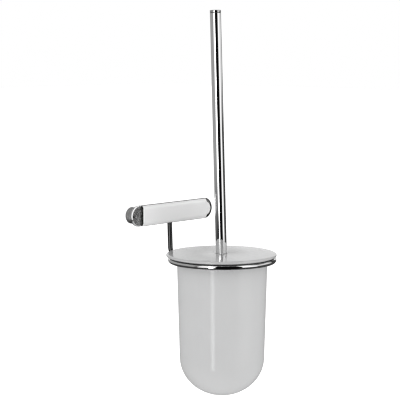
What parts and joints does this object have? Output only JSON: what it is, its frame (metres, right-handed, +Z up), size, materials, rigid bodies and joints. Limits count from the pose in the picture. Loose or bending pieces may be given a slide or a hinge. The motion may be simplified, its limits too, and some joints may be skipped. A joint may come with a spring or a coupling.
{
  "type": "toilet brush holder",
  "caption": "Wall-mounted toilet brush holder with a chrome arm and ring, a hanging frosted cup, a flat lid and a long round brush handle.",
  "frame": {"origin": "centre of the wall boss's back face, at the mouth of the wall stud's threaded hole, on the wall plane Y = 0", "axes": "+Z up, +Y into the wall, +X along the arm"},
  "size_m": [0.1318, 0.1341, 0.4125],
  "materials": {
    "boss_metal": "knurled, bead blasted",
    "chrome": "polished chrome plate",
    "screw_steel": "dark steel",
    "chrome_plate": "polished chrome plate",
    "chrome_wire": "polished chrome wire",
    "frosted_glass": "acid-frosted satin glass",
    "frosted_lid": "frosted, softly glossy",
    "soft_white": "soft white elastomer",
    "white_plastic": "moulded nylon",
    "chrome_tube": "polished chrome tube",
    "chrome_cap": "polished chrome cap",
    "dark_ring": "black sealing ring",
    "brass_insert": "turned brass",
    "chrome_collar": "turned collar",
    "stud_steel": "threaded steel stud",
    "core_plastic": "white moulded plastic",
    "bristle_nylon": "white nylon filament"
  },
  "bodies": {
    "holder": {"wall_boss": "boss_metal", "back_bar": "chrome", "grub_screw": "screw_steel", "arm_plate": "chrome_plate", "plate_screws": "screw_steel", "support_rod": "chrome_wire", "ring": "chrome_wire"},
    "cup": {"cup": "frosted_glass"},
    "lid": {"lid": "frosted_lid", "lid_seal": "soft_white", "lid_bush": "white_plastic"},
    "brush": {"handle_tube": "chrome_tube", "handle_cap": "chrome_cap", "cap_ring": "dark_ring", "handle_insert": "brass_insert", "lid_washer": "white_plastic", "lid_collar": "chrome_collar", "brush_stud": "stud_steel", "brush_core": "core_plastic", "core_button": "core_plastic", "side_bristles": "bristle_nylon", "tip_bristles": "bristle_nylon"}
  },
  "joints": [
    {"name": "cup_lift", "type": "slide", "parent": "holder", "child": "cup", "axis": [0, 0, 1], "range_m": [0, 0.16]},
    {"name": "lid_lift", "type": "slide", "parent": "cup", "child": "lid", "axis": [0, 0, 1], "range_m": [0, 0.15]},
    {"name": "brush_spin", "type": "hinge", "parent": "lid", "child": "brush", "pos_m": [0.06155, -0.07512, -0.04315], "axis": [-0.018, 0.0191, 0.9997], "continuous": true}
  ]
}
